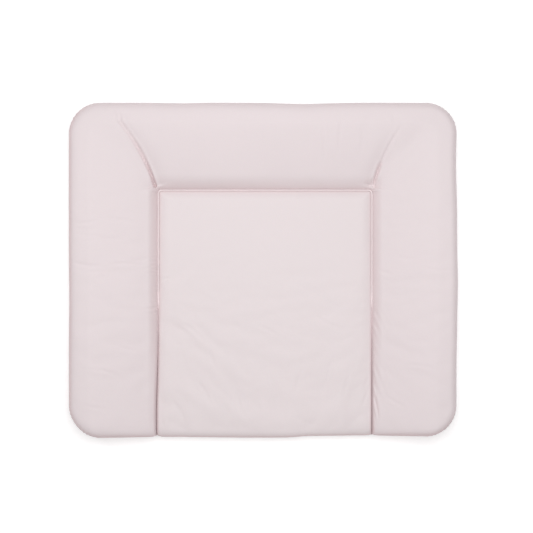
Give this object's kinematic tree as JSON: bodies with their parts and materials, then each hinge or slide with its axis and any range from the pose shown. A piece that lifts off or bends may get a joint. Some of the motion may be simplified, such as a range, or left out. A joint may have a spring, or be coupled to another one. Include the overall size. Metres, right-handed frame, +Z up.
{
  "type": "baby changing pad",
  "caption": "padded wipe-clean baby changing mat with raised side and back bolsters around a lower, softly padded lying surface, open at the front",
  "frame": {"origin": "on the floor, under the middle of the mat's bounding box", "axes": "+X to the right along the longer side, +Y from the open front towards the back bolster, +Z up"},
  "size_m": [0.85, 0.73, 0.09],
  "materials": {
    "cover": "matte coated",
    "backing": "matte",
    "foam": "matte open-cell foam",
    "fleece": "soft fibrous",
    "piping": "matte coated",
    "thread": "matte"
  },
  "bodies": {
    "root": {"back_sheet": "backing", "base_foam": "foam", "left_bolster_foam": "foam", "right_bolster_foam": "foam", "back_bolster_foam": "foam", "centre_fleece": "fleece", "left_bolster_fleece": "fleece", "right_bolster_fleece": "fleece", "back_bolster_fleece": "fleece", "bolster_cover": "cover", "centre_cover": "cover", "seam_piping": "piping", "inner_seam_thread": "thread", "perimeter_seam_thread": "thread", "left_dart_thread": "thread", "right_dart_thread": "thread"}
  },
  "joints": []
}
